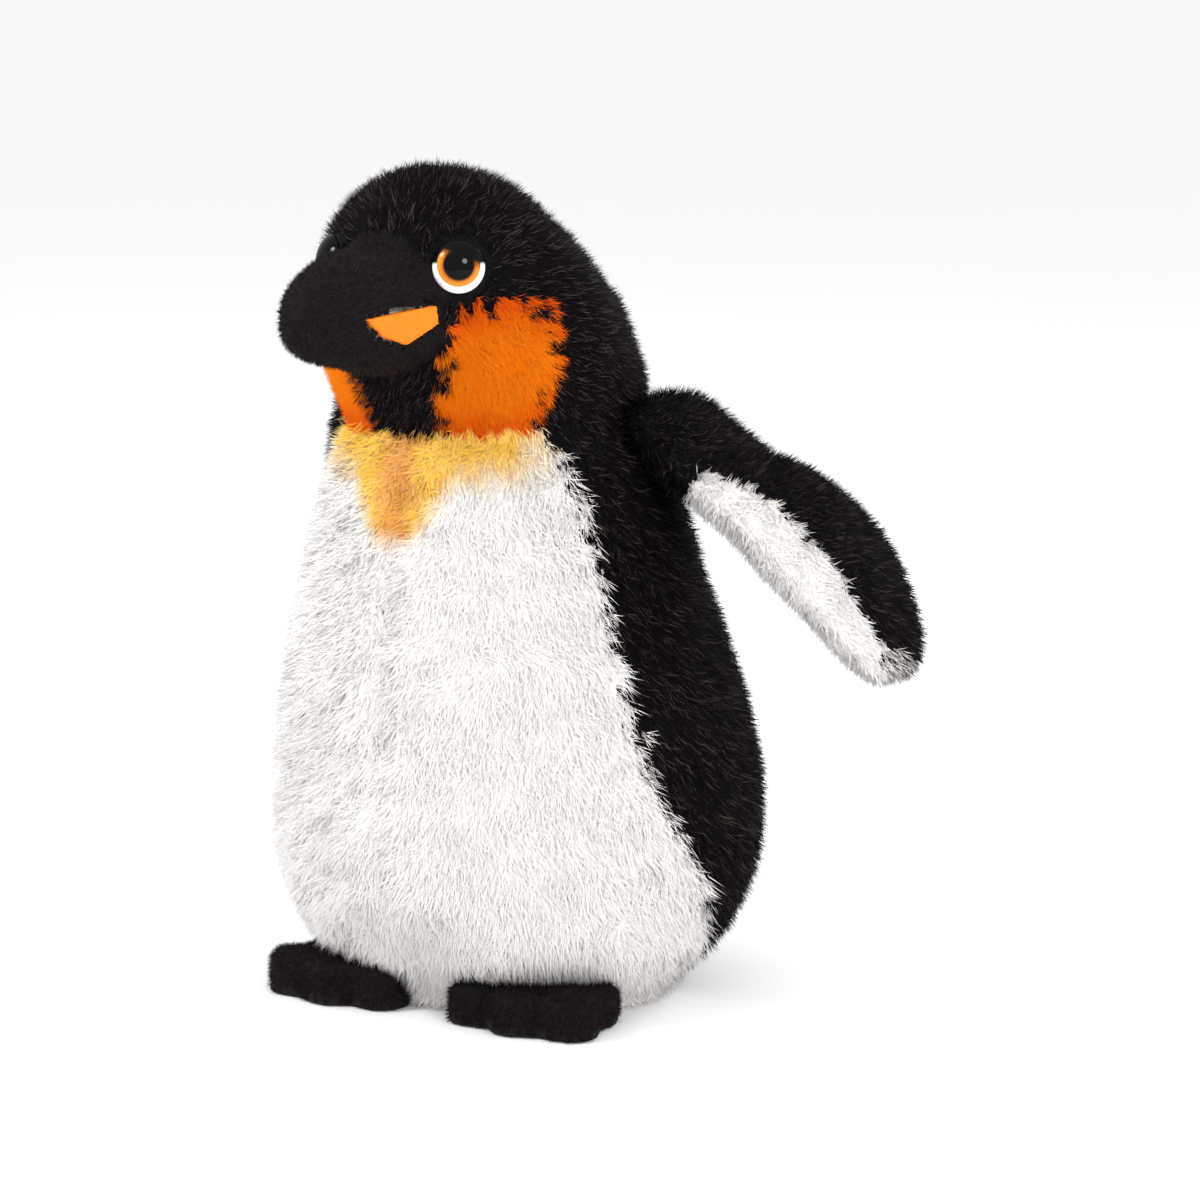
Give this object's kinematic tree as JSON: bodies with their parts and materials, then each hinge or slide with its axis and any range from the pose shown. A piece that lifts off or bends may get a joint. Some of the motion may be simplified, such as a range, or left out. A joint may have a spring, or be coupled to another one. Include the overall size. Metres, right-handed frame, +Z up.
{
  "type": "plush penguin",
  "caption": "Standing soft toy penguin with a stuffed body, white front, black back, orange cheeks, cone beak, domed eyes and hinged cloth wings.",
  "frame": {"origin": "on the floor, in the middle of the flat base panel", "axes": "+Z up, the penguin faces -Y, its left side is +X"},
  "size_m": [0.2179, 0.1845, 0.249],
  "materials": {
    "black_pile": "dense short pile",
    "white_pile": "dense short pile",
    "orange_pile": "dense short pile",
    "black_fleece": "clipped fleece",
    "orange_felt": "brushed felt",
    "printed_dome": "clear dome over its print",
    "printed_iris": "printed disc",
    "black_plastic": "gloss",
    "fibre": "loose fibre filling",
    "pellet_cloth": "woven bag of pellets"
  },
  "bodies": {
    "root": {"back_left": "black_pile", "back_right": "black_pile", "base_panel": "white_pile", "beak_lower": "black_fleece", "beak_stripe_left": "orange_felt", "beak_stripe_right": "orange_felt", "beak_stuffing": "fibre", "beak_upper": "black_fleece", "belly_left": "white_pile", "belly_right": "white_pile", "body_stuffing": "fibre", "cheek_left": "orange_pile", "cheek_right": "orange_pile", "chin_patch": "black_pile", "eye_iris_left": "printed_iris", "eye_iris_right": "printed_iris", "eye_lens_left": "printed_dome", "eye_lens_right": "printed_dome", "eye_shank_left": "black_plastic", "eye_shank_right": "black_plastic", "eye_washer_left": "black_plastic", "eye_washer_right": "black_plastic", "foot_sole_left": "black_fleece", "foot_sole_right": "black_fleece", "foot_stuffing_left": "fibre", "foot_stuffing_right": "fibre", "foot_top_left": "black_fleece", "foot_top_right": "black_fleece", "head_stuffing": "fibre", "hood_left": "black_pile", "hood_right": "black_pile", "pellet_bag": "pellet_cloth"},
    "left_wing": {"wing_outer_left": "black_pile", "wing_inner_left": "white_pile", "wing_stuffing_left": "fibre"},
    "right_wing": {"wing_outer_right": "black_pile", "wing_inner_right": "white_pile", "wing_stuffing_right": "fibre"}
  },
  "joints": [
    {"name": "left_wing_flap", "type": "hinge", "parent": "root", "child": "left_wing", "pos_m": [0.057, 0.016, 0.16], "axis": [0, -1, 0], "range_deg": [-30, 37], "stiffness_Nm_per_rad": 0.35},
    {"name": "right_wing_flap", "type": "hinge", "parent": "root", "child": "right_wing", "pos_m": [-0.057, 0.016, 0.16], "axis": [0, 1, 0], "range_deg": [0, 68], "stiffness_Nm_per_rad": 0.35}
  ]
}
